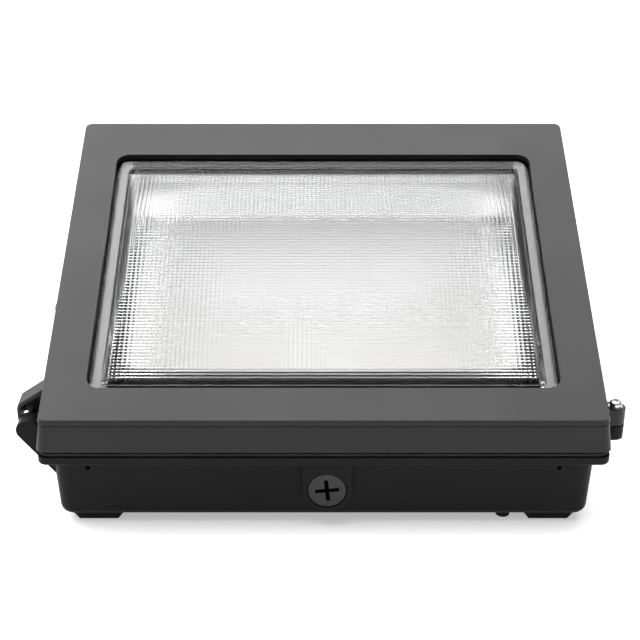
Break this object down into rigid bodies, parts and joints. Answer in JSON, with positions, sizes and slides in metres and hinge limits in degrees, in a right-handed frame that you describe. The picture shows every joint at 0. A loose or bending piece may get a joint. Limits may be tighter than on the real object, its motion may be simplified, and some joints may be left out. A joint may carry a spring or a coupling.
{
  "type": "wall pack light",
  "caption": "Wall pack light: flat-backed cast housing, hinged wedge-shaped door with a ribbed glass refractor, captive screws and plugged conduit entries.",
  "frame": {"origin": "centre of the four wall bolt holes, on the wall plane that the back pads rest on", "axes": "+X across the light towards the captive screws, +Y along it from the low end to the high end (up the wall when mounted), +Z out of the wall"},
  "size_m": [0.3879, 0.266, 0.185],
  "materials": {
    "housing_coat": "satin black powder coat with a fine texture",
    "plug_coat": "matt black coat",
    "silicone_black": "matt silicone",
    "zinc_steel": "zinc plated",
    "stainless_steel": "bright",
    "prismatic_glass": "clear pressed glass with prisms",
    "reflector_white": "satin white",
    "board_white": "white solder mask",
    "phosphor": "yellow phosphor",
    "driver_case": "satin",
    "green_screw": "green plated",
    "lead_black": "insulation",
    "lead_white": "insulation",
    "lead_green": "insulation",
    "lead_red": "insulation",
    "connector_plastic": "moulded plastic"
  },
  "bodies": {
    "housing": {"back_housing": "housing_coat", "door_gasket": "silicone_black", "near_hinge_pin": "zinc_steel", "far_hinge_pin": "zinc_steel", "lower_conduit_plug": "plug_coat", "upper_conduit_plug": "plug_coat", "reflector": "reflector_white", "left_led_board": "board_white", "right_led_board": "board_white", "left_led_emitters": "phosphor", "right_led_emitters": "phosphor", "reflector_screws": "zinc_steel", "board_screws": "zinc_steel", "led_driver": "driver_case", "driver_screws": "zinc_steel", "ground_screw": "green_screw", "supply_lead_line": "lead_black", "supply_lead_neutral": "lead_white", "ground_lead": "lead_green", "led_lead_positive": "lead_red", "led_lead_negative": "lead_black", "lead_grommet": "silicone_black", "wire_connectors": "connector_plastic"},
    "door": {"door_frame": "housing_coat", "glass_refractor": "prismatic_glass", "glass_gasket": "silicone_black", "glass_clips": "zinc_steel", "clip_screws": "zinc_steel"},
    "near_screw_washers": {"near_flat_washer": "stainless_steel", "near_spring_washer": "stainless_steel"},
    "near_screw": {"near_captive_screw": "stainless_steel", "near_retaining_ring": "zinc_steel"},
    "far_screw_washers": {"far_flat_washer": "stainless_steel", "far_spring_washer": "stainless_steel"},
    "far_screw": {"far_captive_screw": "stainless_steel", "far_retaining_ring": "zinc_steel"}
  },
  "joints": [
    {"name": "door_hinge", "type": "hinge", "parent": "housing", "child": "door", "pos_m": [-0.1868, 0, 0.0663], "axis": [0, -1, 0], "range_deg": [0, 110]},
    {"name": "near_screw_travel", "type": "slide", "parent": "door", "child": "near_screw_washers", "axis": [0, 0, 1], "range_m": [0, 0.007]},
    {"name": "near_screw_turn", "type": "hinge", "parent": "near_screw_washers", "child": "near_screw", "pos_m": [0.1868, -0.0966, 0.0745], "axis": [0, 0, 1], "range_deg": [0, 3600]},
    {"name": "far_screw_travel", "type": "slide", "parent": "door", "child": "far_screw_washers", "axis": [0, 0, 1], "range_m": [0, 0.007]},
    {"name": "far_screw_turn", "type": "hinge", "parent": "far_screw_washers", "child": "far_screw", "pos_m": [0.1868, 0.046, 0.0745], "axis": [0, 0, 1], "range_deg": [0, 3600]}
  ],
  "couplings": [
    {"joint": "near_screw_turn", "follows": "near_screw_travel", "rad_per_m": 8975.9},
    {"joint": "far_screw_turn", "follows": "far_screw_travel", "rad_per_m": 8975.9}
  ]
}
